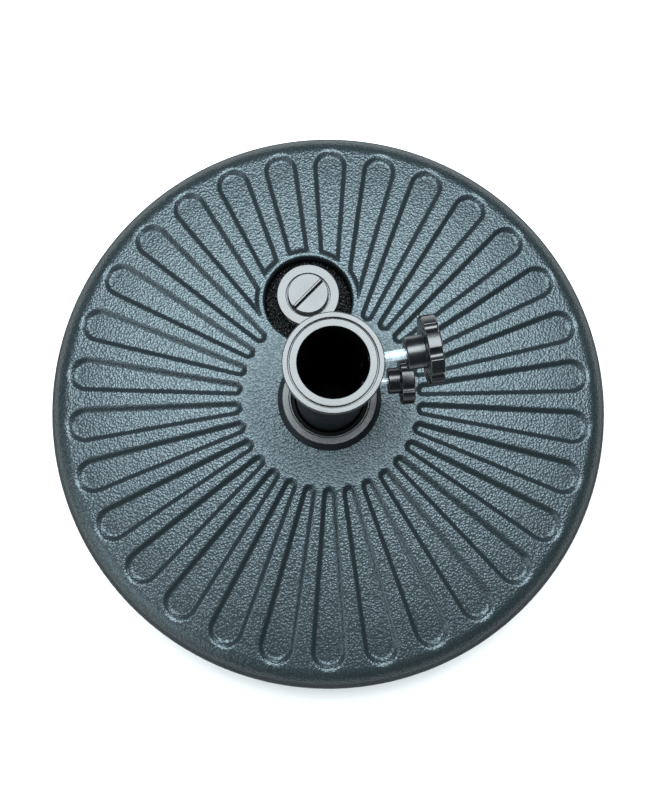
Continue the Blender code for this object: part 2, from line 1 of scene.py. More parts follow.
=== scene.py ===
"""The looks of the parasol base: a finely grained tank, turned plastic rings, star knobs and zinc studs.
Metres, +Z up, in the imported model's frame."""

import math

import bmesh
import bpy
import numpy as np
from mathutils import Matrix, Vector


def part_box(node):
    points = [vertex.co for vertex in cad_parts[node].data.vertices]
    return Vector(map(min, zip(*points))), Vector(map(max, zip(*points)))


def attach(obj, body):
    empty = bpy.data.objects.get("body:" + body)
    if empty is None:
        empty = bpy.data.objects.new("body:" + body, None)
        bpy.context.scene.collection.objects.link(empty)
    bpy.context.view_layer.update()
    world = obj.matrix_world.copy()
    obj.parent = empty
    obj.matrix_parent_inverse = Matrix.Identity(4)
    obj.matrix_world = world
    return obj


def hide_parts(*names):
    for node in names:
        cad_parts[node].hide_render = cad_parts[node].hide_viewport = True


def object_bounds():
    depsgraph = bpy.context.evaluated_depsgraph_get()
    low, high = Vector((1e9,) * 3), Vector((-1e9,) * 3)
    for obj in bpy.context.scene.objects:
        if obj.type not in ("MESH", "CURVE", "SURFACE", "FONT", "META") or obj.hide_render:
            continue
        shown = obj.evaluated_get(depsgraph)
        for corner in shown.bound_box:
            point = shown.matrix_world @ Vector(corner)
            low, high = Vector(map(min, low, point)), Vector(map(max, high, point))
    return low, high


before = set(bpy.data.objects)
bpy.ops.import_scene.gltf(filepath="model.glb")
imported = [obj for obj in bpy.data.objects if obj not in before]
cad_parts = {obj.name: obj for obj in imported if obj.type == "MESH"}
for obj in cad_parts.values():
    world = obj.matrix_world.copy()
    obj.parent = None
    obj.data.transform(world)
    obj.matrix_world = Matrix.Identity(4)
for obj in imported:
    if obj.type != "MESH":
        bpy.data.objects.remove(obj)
cad_low, cad_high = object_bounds()

# Tank
TANK_RADIUS = cad_high.x
HUB_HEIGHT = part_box("tank_shell")[1].z
PARTING_HEIGHT = 0.092
SHOULDER_START = 0.229
DOME_SLOPE = 0.08
WELL_RADIUS = 0.0331
WELL_FLOOR = 0.016
SKIRT_FOOT_RADIUS = 0.243
FOOT_ROUNDING = 0.010
FOOT_INNER_RADIUS = 0.150
RECESS_RADIUS = 0.142
RECESS_HEIGHT = 0.010
SEAM_PROUD = 0.0005
SEAM_WIDTH = 0.0016
BOLT_HOLE_RADIUS = 0.0044

# Flutes
FLUTE_COUNT = 30
FLUTE_INNER_REACH = 0.078
FLUTE_OUTER_REACH = 0.228
FLUTE_INNER_RADIUS = 0.0040
FLUTE_OUTER_RADIUS = 0.0132
FLUTE_DEPTH = 0.0036
FLUTE_WALL_RUN = 0.0050
FLUTE_END_RUN = 0.0085
HALF_PITCH = math.pi / FLUTE_COUNT

# A flute's half angle as seen from the Z axis, half way along it, and how much it gains per metre
FLUTE_MIDDLE_REACH = 0.160
FLUTE_HALF_ANGLE = math.radians(3.255)
FLUTE_ANGLE_GAIN = math.radians(4.11)

# Filler
FILLER_LOW, FILLER_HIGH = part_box("filler_neck")
FILLER_CENTRE = Vector(((FILLER_LOW.x + FILLER_HIGH.x) / 2, (FILLER_LOW.y + FILLER_HIGH.y) / 2, 0.0))
FILLER_TOP = FILLER_HIGH.z
POCKET_RADIUS = 0.039
POCKET_FLOOR = 0.112
POCKET_EDGE = 0.0020
POCKET_EDGE_END = 0.99  # how far round the quarter circle the rounded edge goes, short of upright
POCKET_FILLET = 0.0030
POCKET_WALL_ROWS = (0.126, 0.120)
POCKET_FLOOR_RING = 0.030
POCKET_GRAIN_HEIGHT = 0.010
BORDER_RADIUS = 0.0455
BORDER_CORNER = 0.0015
NECK_HOLE_RADIUS = 0.0218
NECK_HOLE_BOTTOM = 0.090
NECK_BORE = 0.0146
NECK_RADIUS = 0.0215
NECK_COLLAR_RADIUS = 0.0240
NECK_COLLAR_RISE = 0.0029
NECK_FLANGE_RADIUS = 0.0270
NECK_FLANGE_THICKNESS = 0.0032
TANK_WALL = 0.003
SEAL_SEAT_RADIUS = 0.0193
SEAL_SEAT_DEPTH = 0.0040
SEAL_THICKNESS = 0.0026

# Plug: its slot is a deep groove and a shallow line beside it, measured across from the slot's middle
PLUG_LOW, PLUG_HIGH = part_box("fill_plug")
PLUG_TOP = PLUG_HIGH.z
PLUG_RADIUS = 0.0173
PLUG_SHANK_RADIUS = 0.0142
PLUG_HOLLOW_RADIUS = 0.0126
SLOT_AZIMUTH = math.radians(46)
SLOT_END = 0.0012
GROOVE_FROM, GROOVE_TO, GROOVE_DEPTH = -0.0024, 0.0001, 0.0038
LINE_FROM, LINE_TO, LINE_DEPTH = 0.0012, 0.0017, 0.0020
NOTCH_DEPTH = 0.0030

# Neck ring: its step, its top and the foot of its flank
RING_BOTTOM, RING_TOP = (corner.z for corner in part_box("neck_ring"))
RING_BORE = 0.0298
RING_SOCKET_RADIUS = 0.0328
RING_STEP_RADIUS = 0.0332
RING_STEP_DEPTH = 0.0045
RING_LIP_DEPTH = 0.0012
# Below this depth under the ring's top, its bore is painted with shade
RING_SHADE_DEPTH = 0.0015
RING_LIP_RADIUS = 0.0346
RING_TOP_INNER = 0.0350
RING_TOP_OUTER = 0.0405
RING_RADIUS = 0.0450
RING_FOOT_INSET = 0.0003
RING_FOOT_HEIGHT = 0.0012

# Tube and sleeve
TUBE_BOTTOM, TUBE_TOP = (corner.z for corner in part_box("pole_tube"))
TUBE_RADIUS = 0.0285
TUBE_BORE = 0.0265
TUBE_FLANGE_RADIUS = 0.0340
TUBE_FLANGE_THICKNESS = 0.0065
TUBE_SEAT_RADIUS = 0.0302
TUBE_SEAT_DEPTH = 0.0037
TUBE_STEP_RADIUS = 0.0312
TUBE_STEP_HEIGHT = 0.0020
SLEEVE_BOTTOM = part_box("pole_sleeve")[0].z
SLEEVE_BORE = 0.0240
SLEEVE_RADIUS = TUBE_BORE - 0.0003
SLEEVE_FLANGE_RADIUS = 0.0292
SLEEVE_FLANGE_THICKNESS = 0.0034
SLEEVE_SLOT_HALF_WIDTH = 0.0075
SLEEVE_SLOT_TOP = 0.3265
# Below this depth under the sleeve's top, its bore is painted with shade
SLEEVE_SHADE_DEPTH = 0.0008

# Nut bosses
FIT = 0.0003
BOSS_FRONT = 0.0342
BOSS_SIDE_WALL = 0.0012
NUT_START = 0.0286
PAD_HOLE_END = 0.0283

# Fineness
ROUND_STEPS = 144
FILLET_STEPS = 4
SLACK = 0.0005  # how far off a surface a face's middle may lie and still count as on it
FLOOR_COLUMNS = 12
WALL_COLUMNS = 8
RIB_COLUMNS = 4

# The tank's rows: up to each radius they are this far apart
ROW_STEPS = ((0.048, 0.005), (0.142, 0.001), (0.200, 0.004), (SHOULDER_START, 0.0008))
SHOULDER_ROWS = 14
SKIRT_ROWS = 7
FOOT_ROWS = 9

# Star knobs and studs
LOBE_STEPS = 40
LOBE_SOFTNESS = 0.0008
SCALLOP_SET_OUT = 0.35  # of the scallop's radius: how far its centre lies outside the head
HEAD_BEVEL = 0.0013
HUB_BEVEL = 0.0010
HUB_FILLET = 0.0012
HOLE_DEPTH = 0.012
DISH_SHARE = 0.62  # of the head's radius
DISH_LIP = 0.0008
DISH_SLOPE = 0.0012
DISH_WALL = 0.0010
DISH_DEPTH = 0.0013
KNEE = 0.0003  # how far the middle of a small rounding lies from its corner's two faces
STUD_STEPS = 40
STUD_INSIDE_KNOB = 0.0098
THREAD_DEPTH = 0.5  # of the pitch
THREAD_PROFILE = ((0.0, 0.0), (0.10, 0.0), (0.42, 1.0), (0.58, 1.0), (0.90, 0.0))  # shares of pitch and depth

# A clamp screw: sizes run outwards from the tube's middle along the screw's axis
UPPER = {
    "name": "upper",
    "height": 0.317,
    "azimuth": math.radians(10),
    "thread_radius": 0.0040,
    "pitch": 0.00125,
    "across_flats": 0.013,
    "nut_thickness": 0.0040,
    "pad_radius": 0.0050,
    "boss_below": 0.0095,
    "boss_above": 0.0085,
    "stud_start": 0.0256,
    "hub_start": 0.0495,
    "hub_length": 0.0126,
    "hub_radius": 0.0115,
    "head_thickness": 0.0100,
    "head_radius": 0.0238,
    "scallop_radius": 0.0042,
    "lobes": 8,
    "first_scallop": math.radians(17),
}
LOWER = {
    "name": "lower",
    "height": 0.218,
    "azimuth": math.radians(5),
    "thread_radius": 0.0030,
    "pitch": 0.0010,
    "across_flats": 0.010,
    "nut_thickness": 0.0032,
    "pad_radius": 0.0040,
    "boss_below": 0.0085,
    "boss_above": 0.0085,
    "stud_start": 0.0256,
    "hub_start": 0.0443,
    "hub_length": 0.0092,
    "hub_radius": 0.0102,
    "head_thickness": 0.0105,
    "head_radius": 0.0190,
    "scallop_radius": 0.0036,
    "lobes": 7,
    "first_scallop": math.radians(3),
}


# Stage
FLOOR_SIZE = 6.0
SOFTBOX_COLOUR = (0.87, 0.96, 1.0)
SOFTBOX_SIZE = (1.7, 1.0)
SOFTBOX_PLACE = (0.0, 0.40, 1.80)
SOFTBOX_POWER = 92.0
SIDE_FILL_COLOUR = (0.88, 0.97, 1.0)
SIDE_FILL_SIZE = (1.4, 1.4)
SIDE_FILL_PLACE = (-1.3, -1.0, 0.9)
SIDE_FILL_POWER = 20.0
CAMERA_PLACE = (-0.01006, -0.09645, 0.93252)
CAMERA_TILT = {"X": 0.137, "Y": -0.011, "Z": 0.004}  # radians


# ---------------------------------------------------------------- materials

def new_material(name, colour, roughness, metallic=0.0):
    material = bpy.data.materials.new(name)
    material.use_nodes = True
    shader = material.node_tree.nodes["Principled BSDF"]
    shader.inputs["Base Color"].default_value = (*colour, 1.0)
    shader.inputs["Roughness"].default_value = roughness
    shader.inputs["Metallic"].default_value = metallic
    return material


def add_node(material, kind, **settings):
    """Add a node. A setting is one of its inputs by name, with _ for a space, or else an attribute."""
    node = material.node_tree.nodes.new(kind)
    for name, value in settings.items():
        socket = node.inputs.get(name.replace("_", " "))
        if socket is None:
            setattr(node, name, value)
        else:
            socket.default_value = value
    return node


def connect(material, start, end):
    material.node_tree.links.new(start, end)


def object_position(material):
    """The point in metres."""
    return add_node(material, "ShaderNodeTexCoord").outputs["Object"]


def height_of(material):
    """The point's height in metres."""
    place = add_node(material, "ShaderNodeTexCoord")
    split = add_node(material, "ShaderNodeSeparateXYZ")
    connect(material, place.outputs["Object"], split.inputs[0])
    return split.outputs["Z"]


def reach_of(material):
    """The point's distance from the Z axis in metres."""
    place = add_node(material, "ShaderNodeTexCoord")
    split = add_node(material, "ShaderNodeSeparateXYZ")
    connect(material, place.outputs["Object"], split.inputs[0])
    flat = add_node(material, "ShaderNodeCombineXYZ")
    connect(material, split.outputs["X"], flat.inputs["X"])
    connect(material, split.outputs["Y"], flat.inputs["Y"])
    reach = add_node(material, "ShaderNodeVectorMath", operation="LENGTH")
    connect(material, flat.outputs[0], reach.inputs[0])
    return reach.outputs["Value"]


def noise(material, position, scale, detail=3.0, roughness=0.5):
    node = add_node(material, "ShaderNodeTexNoise", Scale=scale, Detail=detail, Roughness=roughness)
    connect(material, position, node.inputs["Vector"])
    return node.outputs["Fac"]


def ramp(material, value, low, high, low_value, high_value):
    """Map a value between low and high to another range."""
    node = add_node(material, "ShaderNodeMapRange")
    node.inputs["From Min"].default_value = low
    node.inputs["From Max"].default_value = high
    node.inputs["To Min"].default_value = low_value
    node.inputs["To Max"].default_value = high_value
    connect(material, value, node.inputs["Value"])
    return node.outputs["Result"]


def tint(material, value, dark, light):
    """Colour the shader between two colours by a value."""
    mix = add_node(material, "ShaderNodeMix", data_type="RGBA")
    mix.inputs[6].default_value = (*dark, 1.0)
    mix.inputs[7].default_value = (*light, 1.0)
    connect(material, value, mix.inputs[0])
    shader = material.node_tree.nodes["Principled BSDF"]
    connect(material, mix.outputs[2], shader.inputs["Base Color"])


def roughen(material, value, low, high):
    """Vary the shader's roughness by a value."""
    shader = material.node_tree.nodes["Principled BSDF"]
    connect(material, ramp(material, value, 0.3, 0.7, low, high), shader.inputs["Roughness"])


def bump(material, height, distance, strength=1.0):
    node = add_node(material, "ShaderNodeBump", Strength=strength, Distance=distance)
    connect(material, height, node.inputs["Height"])
    shader = material.node_tree.nodes["Principled BSDF"]
    connect(material, node.outputs["Normal"], shader.inputs["Normal"])
    return node


def pebble_grain(material, position, depth):
    """A grain of rounded cells about 2 mm across. Returns the distance from each cell's middle."""
    warp = noise(material, position, 420.0, 2.0)
    shifted = add_node(material, "ShaderNodeVectorMath", operation="MULTIPLY_ADD")
    connect(material, warp, shifted.inputs[0])
    shifted.inputs[1].default_value = (0.0009, 0.0009, 0.0009)
    connect(material, position, shifted.inputs[2])
    cells = add_node(material, "ShaderNodeTexVoronoi", feature="SMOOTH_F1", Scale=520.0, Smoothness=0.25)
    connect(material, shifted.outputs[0], cells.inputs["Vector"])
    bump(material, cells.outputs["Distance"], depth).invert = True
    return cells.outputs["Distance"]


def product(material, first, second):
    node = add_node(material, "ShaderNodeMath", operation="MULTIPLY")
    connect(material, first, node.inputs[0])
    connect(material, second, node.inputs[1])
    return node.outputs[0]


def grained_plastic():
    """Pebbled plastic with a rougher rim, and painted shade: its gloss is dimmed between its pebbles, round
    the tube and on the rim.
    """
    material = new_material("grained_tank_plastic", (0.011, 0.016, 0.018), 0.34)
    shader = material.node_tree.nodes["Principled BSDF"]
    shader.inputs["Specular Tint"].default_value = (0.76, 0.93, 1.0, 1.0)
    position = object_position(material)
    valleys = pebble_grain(material, position, 0.00030)
    height = height_of(material)
    reach = reach_of(material)
    # Painted shade: gloss dimmed on the rim, round the tube and in the grain's valleys
    gloss = ramp(material, height, 0.112, 0.1215, 0.05, 1.0)
    gloss = product(material, gloss, ramp(material, reach, 0.068, 0.088, 0.64, 1.0))
    gloss = product(material, gloss, ramp(material, valleys, 0.20, 0.62, 0.88, 0.42))
    connect(material, gloss, shader.inputs["Specular IOR Level"])
    connect(material, ramp(material, height, 0.108, 0.119, 0.60, 0.34), shader.inputs["Roughness"])
    patches = ramp(material, noise(material, position, 9.0, 4.0), 0.3, 0.7, 0.0, 1.0)
    tint(material, patches, (0.009, 0.014, 0.016), (0.013, 0.018, 0.020))
    return material


def pocket_plastic():
    """The pocket's coarser grain: black, with small glints, and painted shade in its valleys."""
    material = new_material("pocket_grained_plastic", (0.004, 0.004, 0.005), 0.26)
    position = object_position(material)
    valleys = pebble_grain(material, position, 0.00110)
    shader = material.node_tree.nodes["Principled BSDF"]
    # Painted shade: the grain's valleys are made less glossy and darker
    connect(material, ramp(material, valleys, 0.15, 0.50, 0.50, 0.05), shader.inputs["Specular IOR Level"])
    tint(material, ramp(material, valleys, 0.2, 0.6, 0.0, 1.0), (0.008, 0.009, 0.010), (0.003, 0.003, 0.003))
    return material


def moulded_plastic(name, colour, roughness, streak=0.00003, sheen=0.5):
    """Smooth moulded plastic: faint flow marks, and a fine satin texture."""
    material = new_material(name, colour, roughness)
    shader = material.node_tree.nodes["Principled BSDF"]
    shader.inputs["Specular IOR Level"].default_value = sheen
    position = object_position(material)
    marks = noise(material, position, 55.0, 5.0, 0.6)
    light = tuple(channel * 1.25 for channel in colour)
    tint(material, ramp(material, marks, 0.35, 0.65, 0.0, 1.0), colour, light)
    roughen(material, marks, roughness * 0.88, roughness * 1.15)
    bump(material, noise(material, position, 900.0, 3.0), streak)
    return material


def turned_plastic(name, colour, roughness, sheen=0.5):
    """Smooth plastic with fine marks that run round Z, as a turned mould leaves them."""
    material = moulded_plastic(name, colour, roughness, sheen=sheen)
    rings = add_node(material, "ShaderNodeTexNoise", noise_dimensions="1D", Scale=1400.0, Detail=2.0)
    connect(material, reach_of(material), rings.inputs["W"])
    bump(material, rings.outputs["Fac"], 0.00003)
    return material


def zinc_plate():
    """Bright zinc plating with a blue cast and fine specks."""
    material = new_material("zinc_plate", (0.66, 0.76, 0.82), 0.36, 0.7)
    position = object_position(material)
    specks = noise(material, position, 700.0, 4.0, 0.65)
    tint(material, ramp(material, specks, 0.35, 0.65, 0.0, 1.0), (0.62, 0.73, 0.79), (0.84, 0.92, 0.96))
    roughen(material, specks, 0.30, 0.44)
    bump(material, specks, 0.00003)
    return material


def seal_rubber():
    material = new_material("seal_rubber_black", (0.012, 0.012, 0.013), 0.75)
    position = object_position(material)
    dust = noise(material, position, 260.0, 4.0, 0.6)
    tint(material, ramp(material, dust, 0.4, 0.7, 0.0, 1.0), (0.010, 0.010, 0.011), (0.024, 0.024, 0.025))
    roughen(material, dust, 0.65, 0.85)
    bump(material, noise(material, position, 1200.0), 0.00005)
    return material


GRAINED = grained_plastic()
POCKET_PLASTIC = pocket_plastic()
RING_PLASTIC = turned_plastic("ring_plastic", (0.012, 0.014, 0.015), 0.24)
NECK_PLASTIC = turned_plastic("neck_plastic", (0.010, 0.012, 0.014), 0.30, sheen=0.36)
TUBE_PLASTIC = turned_plastic("tube_plastic_black", (0.009, 0.011, 0.012), 0.24)
PLUG_PLASTIC = moulded_plastic("plug_plastic_black", (0.012, 0.014, 0.015), 0.26)
KNOB_PLASTIC = moulded_plastic("knob_plastic_black", (0.003, 0.004, 0.005), 0.27, streak=0.00005)
# Painted shade: a near-black, dull plastic put on slots, bores and the tube's foot, where shade falls
PAINTED_SHADE_PLASTIC = moulded_plastic("shaded_plastic_black", (0.0015, 0.0015, 0.0015), 0.55, sheen=0.06)
BARREL_PLASTIC = turned_plastic("barrel_plastic_black", (0.005, 0.006, 0.007), 0.45, sheen=0.10)
ZINC = zinc_plate()
RUBBER = seal_rubber()


# ---------------------------------------------------------------- mesh helpers

def add_piece(name, mesh, material, body=None, stands_for=()):
    """Add a mesh. With a body it is a shown piece that rides on it, and without one it is a cutter."""
    obj = bpy.data.objects.new(name, mesh)
    bpy.context.scene.collection.objects.link(obj)
    if material is not None:
        mesh.materials.append(material)
    if body is not None:
        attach(obj, body)
        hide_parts(*stands_for)
    return obj


def filleted(points):
    """A profile of (radius, height, fillet) points, with its corners rounded."""
    outline = []
    for i, (radius, height, fillet) in enumerate(points):
        corner = Vector((radius, height))
        if fillet == 0.0:
            outline.append(corner)
            continue
        before = (Vector(points[i - 1][:2]) - corner).normalized()
        after = (Vector(points[(i + 1) % len(points)][:2]) - corner).normalized()
        half_angle = before.angle(after) / 2
        centre = corner + (before + after).normalized() * fillet / math.sin(half_angle)
        first = corner + before * fillet / math.tan(half_angle)
        last = corner + after * fillet / math.tan(half_angle)
        for step in range(FILLET_STEPS + 1):
            spoke = (first - centre).slerp(last - centre, step / FILLET_STEPS)
            outline.append(centre + spoke.normalized() * fillet)
    return outline


def lathe(name, points, steps=ROUND_STEPS):
    """Turn a closed profile about Z. It runs down its outer side, and points on the axis are poles."""
    outline = filleted(points)
    form = bmesh.new()
    rings = []
    for radius, height in outline:
        if radius < 1e-6:
            rings.append([form.verts.new((0.0, 0.0, height))] * steps)
            continue
        turns = [math.tau * i / steps for i in range(steps)]
        rings.append([form.verts.new((radius * math.cos(a), radius * math.sin(a), height)) for a in turns])
    pairs = [(i, (i + 1) % len(rings)) for i in range(len(rings))]
    for upper, lower in pairs:
        for i in range(steps):
            j = (i + 1) % steps
            corners = [rings[upper][i], rings[lower][i], rings[lower][j], rings[upper][j]]
            unique = list(dict.fromkeys(corners))
            if len(unique) > 2:
                form.faces.new(unique)
    return finished(name, form)


def box_mesh(name, low, high, bevel=0.0):
    form = bmesh.new()
    bmesh.ops.create_cube(form, size=1.0)
    low, high = Vector(low), Vector(high)
    size = Matrix.Diagonal(high - low).to_4x4()
    bmesh.ops.transform(form, matrix=Matrix.Translation((low + high) / 2) @ size, verts=form.verts)
    if bevel > 0.0:
        bmesh.ops.bevel(form, geom=form.edges[:], offset=bevel, segments=3, profile=0.5, affect="EDGES")
    return finished(name, form)


def finished(name, form):
    mesh = bpy.data.meshes.new(name)
    form.to_mesh(mesh)
    form.free()
    mesh.shade_smooth()
    return mesh


def combine(obj, operation, *others):
    """Join or cut a mesh with others, which are used up."""
    for other in others:
        boolean = obj.modifiers.new(other.name, "BOOLEAN")
        boolean.operation = operation
        boolean.object = other
        boolean.solver = "EXACT"
        boolean.material_mode = "TRANSFER"
    settle(obj)
    for other in others:
        bpy.data.objects.remove(other, do_unlink=True)


def settle(obj):
    """Apply an object's modifiers."""
    bpy.context.view_layer.update()
    graph = bpy.context.evaluated_depsgraph_get()
    mesh = bpy.data.meshes.new_from_object(obj.evaluated_get(graph))
    obj.modifiers.clear()
    obj.data = mesh


def crisp(obj, angle=35):
    """Smooth shading that keeps flat faces flat and sharp edges sharp."""
    obj.data.shade_smooth()
    obj.data.set_sharp_from_angle(angle=math.radians(angle))
    weighted = obj.modifiers.new("Flat faces", "WEIGHTED_NORMAL")
    weighted.keep_sharp = True
    return obj


def paint_bore_shade(obj, radius, top):
    """Paint shade into a bore: give the faces within a radius of the Z axis, and below a height, the painted
    shade material.
    """
    obj.data.materials.append(PAINTED_SHADE_PLASTIC)
    shade_slot = len(obj.data.materials) - 1
    for face in obj.data.polygons:
        if face.center.to_2d().length < radius and face.center.z < top:
            face.material_index = shade_slot


def dress_barrel(obj, top):
    """Give the tube's outside, below its flange, the duller material."""
    obj.data.materials.append(BARREL_PLASTIC)
    outside = len(obj.data.materials) - 1
    for face in obj.data.polygons:
        reach = face.center.to_2d()
        on_barrel = abs(reach.length - TUBE_RADIUS) < SLACK and face.center.z < top
        if on_barrel and reach.dot(face.normal.to_2d()) > 0.0:
            face.material_index = outside


def along_screw(clamp):
    """Places what is modelled along +Z on a clamp screw's axis, pointing outwards, with +X down."""
    tilt = Matrix.Rotation(clamp["azimuth"], 4, "Z") @ Matrix.Rotation(math.pi / 2, 4, "Y")
    return Matrix.Translation((0.0, 0.0, clamp["height"])) @ tilt


# ---------------------------------------------------------------- tank

def base_height(radius):
    """The tank's top without its flutes."""
    return HUB_HEIGHT - DOME_SLOPE * np.maximum(0.0, radius - FLUTE_INNER_REACH)


def flute_distance(x, y):
    """Signed distance to a flute's outline, two circles and their tangents along X, and its wall's run."""
    start = FLUTE_INNER_REACH + FLUTE_INNER_RADIUS
    length = FLUTE_OUTER_REACH - FLUTE_OUTER_RADIUS - start
    lean = (FLUTE_INNER_RADIUS - FLUTE_OUTER_RADIUS) / length
    rise = math.sqrt(1 - lean**2)
    across, along = np.abs(y), x - start
    share = along * rise - across * lean
    inner = np.hypot(across, along) - FLUTE_INNER_RADIUS
    outer = np.hypot(across, along - length) - FLUTE_OUTER_RADIUS
    side = across * rise + along * lean - FLUTE_INNER_RADIUS
    beyond = np.clip((along - length) / np.maximum(outer + FLUTE_OUTER_RADIUS, 1e-9), 0.0, 1.0)
    run = FLUTE_WALL_RUN + (FLUTE_END_RUN - FLUTE_WALL_RUN) * beyond**2
    return np.where(share < 0, inner, np.where(share > rise * length, outer, side)), run


def smooth_max(a, b, softness):
    blend = np.maximum(softness - np.abs(a - b), 0.0) / softness
    return np.maximum(a, b) + blend**2 * softness / 4


def top_depth(x, y):
    """How far the flutes and the pocket's rounded edge lie below the tank's top."""
    azimuth = np.arctan2(y, x)
    pitch = 2 * HALF_PITCH
    offset = (azimuth - math.pi / 2 + HALF_PITCH) % pitch - HALF_PITCH
    radius = np.hypot(x, y)
    distance, run = flute_distance(radius * np.cos(offset), radius * np.sin(offset))
    filler_distance = np.hypot(x - FILLER_CENTRE.x, y - FILLER_CENTRE.y)
    distance = smooth_max(distance, BORDER_RADIUS - filler_distance, BORDER_CORNER)
    share = np.clip(0.5 - distance / run, 0.0, 1.0)
    flutes = FLUTE_DEPTH * share**2 * (3 - 2 * share)
    edge = np.clip(1.0 - (filler_distance - POCKET_RADIUS) / POCKET_EDGE, 0.0, 1.0)
    return flutes + POCKET_EDGE * (1 - np.sqrt(1 - edge**2 * POCKET_EDGE_END))


def column_offsets(radius):
    """Half a pitch's azimuths at a radius: close together on the flute's wall."""
    half_width = FLUTE_HALF_ANGLE + FLUTE_ANGLE_GAIN * (radius - FLUTE_MIDDLE_REACH)
    wall = FLUTE_WALL_RUN / 2 / radius
    stops = [0, FLOOR_COLUMNS, FLOOR_COLUMNS + WALL_COLUMNS, FLOOR_COLUMNS + WALL_COLUMNS + RIB_COLUMNS]
    return np.interp(range(stops[-1] + 1), stops, [0.0, half_width - wall, half_width + wall, HALF_PITCH])


def azimuths(radius):
    """All the columns' azimuths at a radius."""
    half = column_offsets(radius)
    sector = np.concatenate([-half[:0:-1], half[:-1]])
    centres = math.pi / 2 + 2 * HALF_PITCH * np.arange(FLUTE_COUNT)
    return (centres[:, None] + sector[None, :]).ravel()


def tank_rows():
    """The tank's outline as (radius, height, has flutes) rows. It starts and ends at the bolt hole."""
    rows = [(BOLT_HOLE_RADIUS, WELL_FLOOR, False), (WELL_RADIUS, WELL_FLOOR, False)]
    stretch_start = WELL_RADIUS
    for stretch_end, step in ROW_STEPS:
        for radius in np.arange(stretch_start, stretch_end, step):
            rows.append((radius, base_height(radius), True))
        stretch_start = stretch_end
    edge = base_height(SHOULDER_START)
    width = TANK_RADIUS - SHOULDER_START
    lean = DOME_SLOPE * width
    for angle in np.linspace(0, math.pi / 2, SHOULDER_ROWS + 1)[:-1]:
        fall = lean * math.sin(angle) + (edge - PARTING_HEIGHT - lean) * (1 - math.cos(angle))
        rows.append((SHOULDER_START + width * math.sin(angle), edge - fall, True))
    side_radius = TANK_RADIUS - SEAM_PROUD
    for share in (1.0, 0.6, 0.0, -0.6, -1.0):
        height = PARTING_HEIGHT - SEAM_WIDTH * (1 - share) / 2
        rows.append((TANK_RADIUS - SEAM_PROUD * abs(share), height, False))
    for share in np.linspace(0.05, 1.0, SKIRT_ROWS + 1)[:-1]:
        height = PARTING_HEIGHT + share * (FOOT_ROUNDING - PARTING_HEIGHT)
        rows.append((side_radius + share * (SKIRT_FOOT_RADIUS - side_radius), height, False))
    foot_centre = SKIRT_FOOT_RADIUS - FOOT_ROUNDING
    for angle in np.linspace(0, math.pi / 2, FOOT_ROWS):
        height = FOOT_ROUNDING * (1 - math.sin(angle))
        rows.append((foot_centre + FOOT_ROUNDING * math.cos(angle), height, False))
    rows += [(FOOT_INNER_RADIUS, 0.0, False), (RECESS_RADIUS, RECESS_HEIGHT, False)]
    rows.append((BOLT_HOLE_RADIUS, RECESS_HEIGHT, False))
    return rows


def tank_grid():
    """The tank's skin without its pocket: its vertices, and its faces as rows of four indices."""
    layers = []
    for radius, height, fluted in tank_rows():
        turn = azimuths(max(radius, WELL_RADIUS))
        x, y = radius * np.cos(turn), radius * np.sin(turn)
        z = height - top_depth(x, y) if fluted else np.full_like(x, height)
        layers.append(np.stack([x, y, z], axis=1))
    row_count, columns = len(layers), len(layers[0])
    row, column = np.meshgrid(np.arange(row_count), np.arange(columns), indexing="ij")
    start, below = row * columns, (row + 1) % row_count * columns
    beside = (column + 1) % columns
    corners = [start + column, below + column, below + beside, start + beside]
    return np.concatenate(layers), np.stack(corners, axis=-1).reshape(-1, 4)


def clip_to_pocket(vertices, faces):
    """Cut the pocket's circle out of the top. Returns the kept faces and the points added on the circle."""
    centre = np.array(FILLER_CENTRE[:2])
    distance = np.linalg.norm(vertices[:, :2] - centre, axis=1)
    inside = (distance < POCKET_RADIUS) & (vertices[:, 2] > POCKET_FLOOR)
    count = inside[faces].sum(axis=1)
    kept = faces[count == 0].tolist()
    crossings, points = {}, []

    def crossing(a, b):
        key = (min(a, b), max(a, b))
        if key not in crossings:
            start, run = vertices[a, :2] - centre, vertices[b, :2] - vertices[a, :2]
            roots = np.roots([run @ run, 2 * start @ run, start @ start - POCKET_RADIUS**2]).real
            share = min(roots, key=lambda root: abs(root - 0.5))
            x, y = vertices[a, :2] + share * run
            crossings[key] = len(vertices) + len(points)
            points.append((x, y, float(base_height(math.hypot(x, y)) - top_depth(x, y))))
        return crossings[key]

    for face in faces[(count > 0) & (count < 4)].tolist():
        clipped = []
        for a, b in zip(face, face[1:] + face[:1]):
            if not inside[a]:
                clipped.append(a)
            if inside[a] != inside[b]:
                clipped.append(crossing(a, b))
        kept.append(clipped)
    return kept, points


def pocket_rings():
    """The pocket's wall, floor and hole as (radius, height) rings, from its edge inwards."""
    rings = [(POCKET_RADIUS, height) for height in (*POCKET_WALL_ROWS, POCKET_FLOOR + POCKET_FILLET)]
    for step in range(1, FILLET_STEPS + 1):
        angle = math.pi / 2 * step / FILLET_STEPS
        inset = POCKET_FILLET * (1 - math.cos(angle))
        rings.append((POCKET_RADIUS - inset, POCKET_FLOOR + POCKET_FILLET * (1 - math.sin(angle))))
    rings += [(POCKET_FLOOR_RING, POCKET_FLOOR), (NECK_HOLE_RADIUS, POCKET_FLOOR)]
    return rings + [(NECK_HOLE_RADIUS, NECK_HOLE_BOTTOM)]


